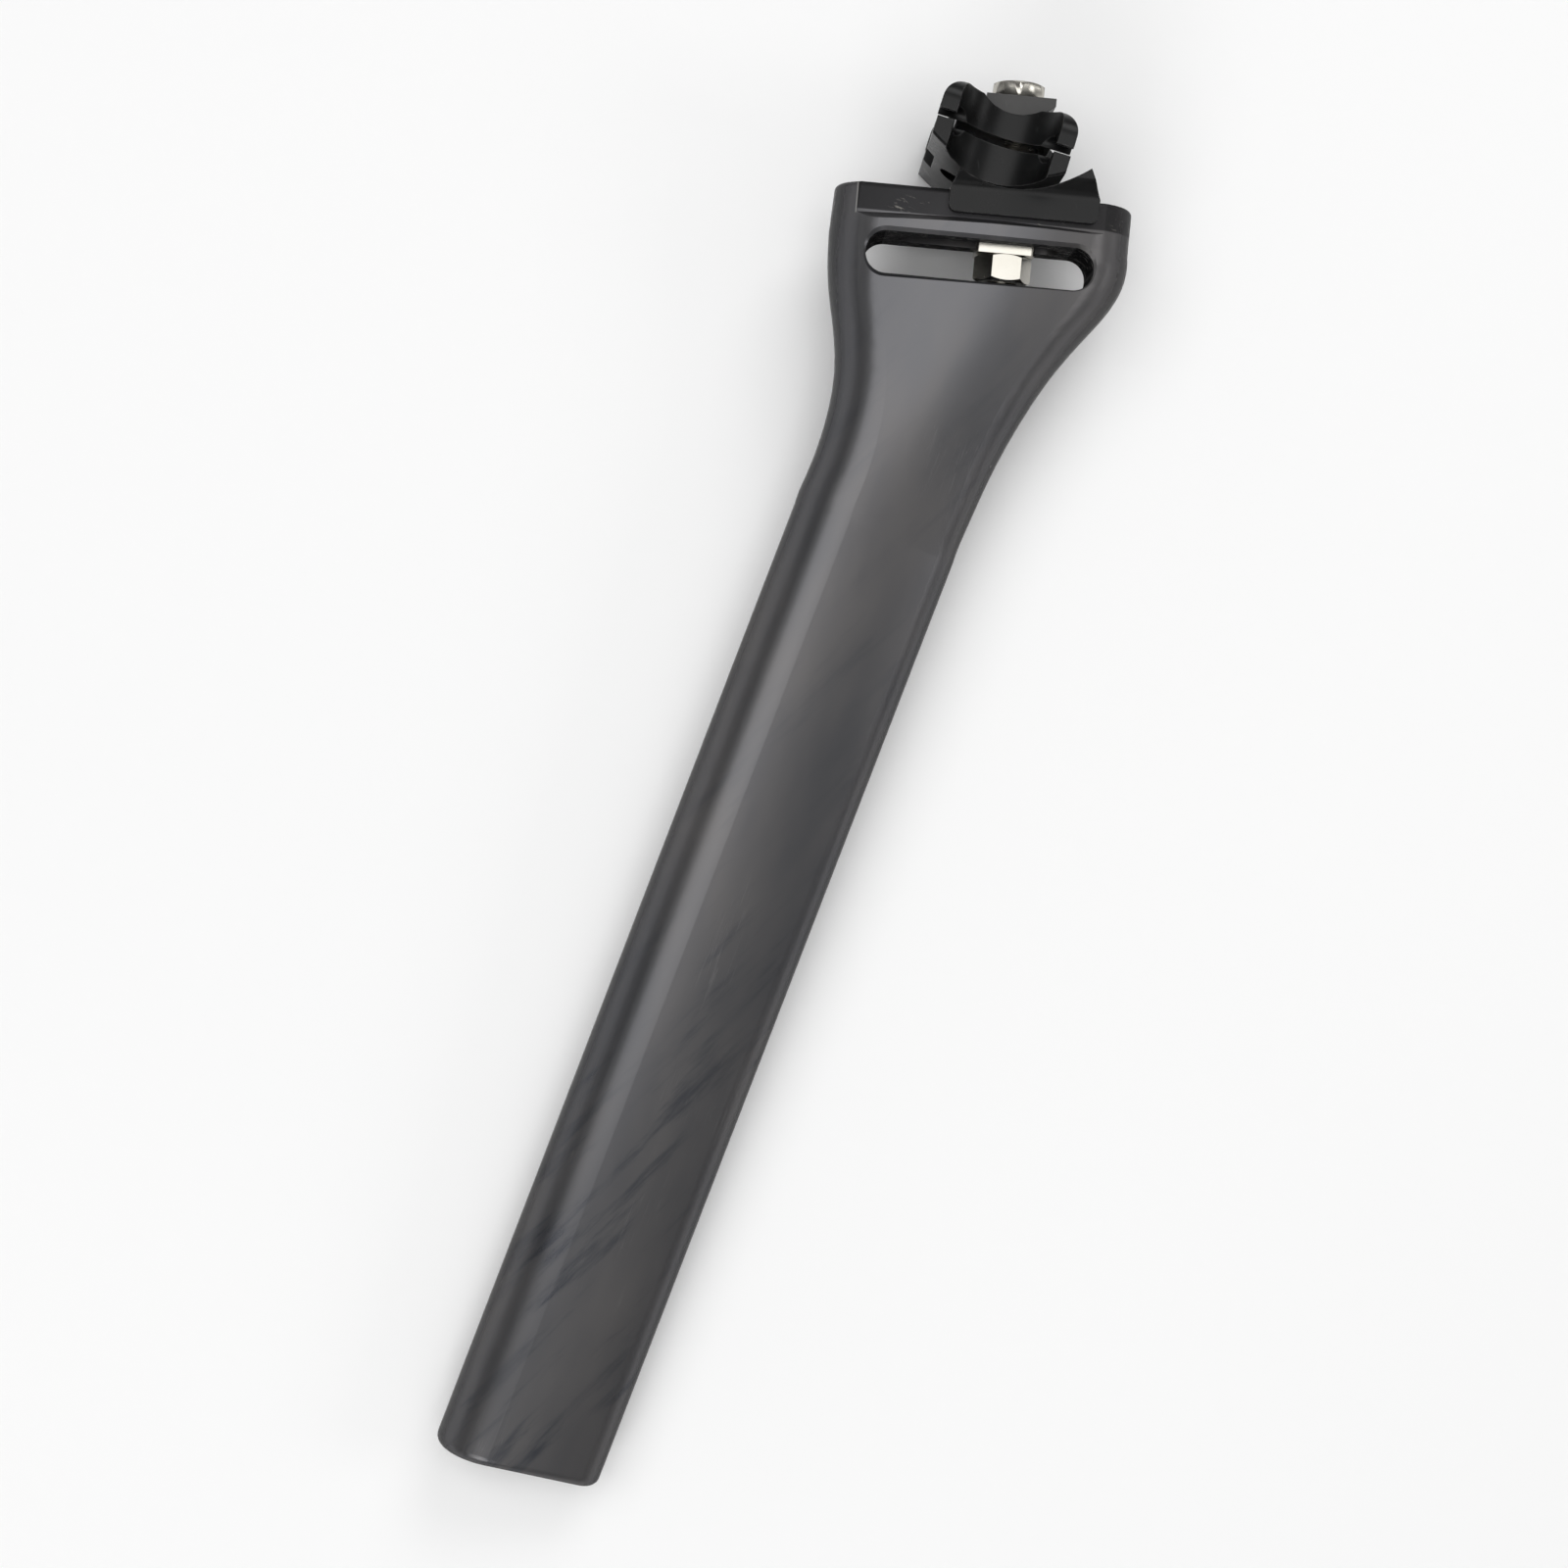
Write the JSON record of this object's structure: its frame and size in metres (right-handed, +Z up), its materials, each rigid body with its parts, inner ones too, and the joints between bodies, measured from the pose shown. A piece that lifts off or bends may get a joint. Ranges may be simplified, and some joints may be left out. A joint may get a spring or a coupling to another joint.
{
  "type": "bicycle seatpost",
  "caption": "Aero bicycle seatpost with a flared head, a through slot and a two-jaw saddle-rail clamp that slides and tilts, held by one bolt.",
  "frame": {"origin": "middle of the bounding box at floor level, the post lying on its right side", "axes": "+Z up from the floor; +X along the shaft towards the head; +Y towards the front of the bicycle"},
  "size_m": [0.3841, 0.0784, 0.0544],
  "materials": {
    "carbon_shell": "glossy black clear coat",
    "black_alloy": "satin black anodised",
    "washer_alloy": "dark grey satin",
    "plated_steel": "bright zinc plated"
  },
  "bodies": {
    "post": {"post": "carbon_shell"},
    "carriage": {"base_cradle": "black_alloy", "half_round_washer": "washer_alloy", "clamp_bolt": "plated_steel", "slot_washer": "plated_steel", "nut": "plated_steel"},
    "jaws": {"lower_rail_jaw": "black_alloy", "upper_rail_jaw": "black_alloy"}
  },
  "joints": [
    {"name": "clamp_slide", "type": "slide", "parent": "post", "child": "carriage", "axis": [0.2755, -0.9613, 0.0087], "range_m": [-0.023, 0.0096]},
    {"name": "jaw_tilt", "type": "hinge", "parent": "carriage", "child": "jaws", "pos_m": [0.19342, 0.00542, 0.02817], "axis": [0.042, 0.0029, -0.9991], "range_deg": [-26, 2]}
  ]
}
